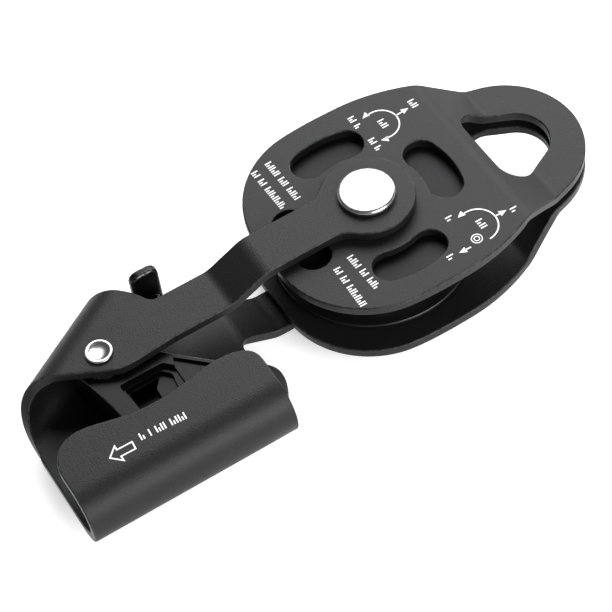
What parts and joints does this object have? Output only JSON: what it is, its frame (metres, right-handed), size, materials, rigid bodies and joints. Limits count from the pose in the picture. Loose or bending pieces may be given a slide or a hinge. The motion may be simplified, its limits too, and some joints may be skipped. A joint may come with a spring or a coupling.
{
  "type": "rope pulley",
  "caption": "Swing-cheek rope pulley on a ball bearing, with a folded yoke that carries a sprung toothed cam, so the rope runs one way and locks the other.",
  "frame": {"origin": "middle of the carabiner eye, midway between the two cheeks", "axes": "+X from the wheel's axle towards the eye and the nose of the cheeks, +Z along the axle, -Y towards the rope channel of the clamp"},
  "size_m": [0.1821, 0.0788, 0.0352],
  "materials": {
    "anodised_cheek": "bead-blasted black anodised, satin",
    "anodised_yoke": "bead-blasted black anodised, satin",
    "black_sheave": "turned and black anodised, semi-gloss",
    "polished_steel": "polished",
    "bearing_steel": "ground",
    "spring_steel": "drawn wire",
    "blackened_steel": "investment cast, blackened",
    "bronze": "turned",
    "black_nylon": "moulded"
  },
  "bodies": {
    "front_cheek": {"front_cheek": "anodised_cheek"},
    "yoke": {"yoke_frame": "anodised_yoke", "axle": "polished_steel", "axle_end_cap": "polished_steel", "front_arm_washer": "black_nylon", "rear_arm_washer": "black_nylon", "front_spacer": "bronze", "rear_spacer": "bronze", "bearing_inner_race": "bearing_steel", "cam_pin": "polished_steel", "front_cam_washer": "polished_steel", "rear_cam_washer": "polished_steel", "cam_spring": "spring_steel"},
    "rear_cheek": {"rear_cheek": "anodised_cheek"},
    "wheel": {"sheave": "black_sheave", "bearing_circlip": "bearing_steel", "bearing_outer_race": "bearing_steel", "front_bearing_shield": "bearing_steel", "rear_bearing_shield": "bearing_steel"},
    "ball_set": {"bearing_cage": "bronze", "bearing_ball_1": "bearing_steel", "bearing_ball_2": "bearing_steel", "bearing_ball_3": "bearing_steel", "bearing_ball_4": "bearing_steel", "bearing_ball_5": "bearing_steel", "bearing_ball_6": "bearing_steel", "bearing_ball_7": "bearing_steel"},
    "cam": {"cam": "blackened_steel", "cam_bush": "bronze"}
  },
  "joints": [
    {"name": "yoke_swing", "type": "hinge", "parent": "front_cheek", "child": "yoke", "pos_m": [-0.048, 0, 0], "axis": [0, 0, 1], "range_deg": [-90, 90]},
    {"name": "rear_cheek_swing", "type": "hinge", "parent": "yoke", "child": "rear_cheek", "pos_m": [-0.048, 0, 0], "axis": [0, 0, 1], "range_deg": [-90, 90]},
    {"name": "wheel_spin", "type": "hinge", "parent": "yoke", "child": "wheel", "pos_m": [-0.048, 0, 0], "axis": [0, 0, 1], "continuous": true},
    {"name": "ball_roll", "type": "hinge", "parent": "yoke", "child": "ball_set", "pos_m": [-0.048, 0, 0], "axis": [0, 0, 1], "continuous": true},
    {"name": "cam_pivot", "type": "hinge", "parent": "yoke", "child": "cam", "pos_m": [-0.1338, 0, 0], "axis": [0, 0, 1], "range_deg": [0, 28], "stiffness_Nm_per_rad": 0.06, "springref_deg": -57.3, "deforming": ["cam_spring"]}
  ],
  "couplings": [
    {"joint": "ball_roll", "follows": "wheel_spin", "ratio": 0.6352}
  ]
}
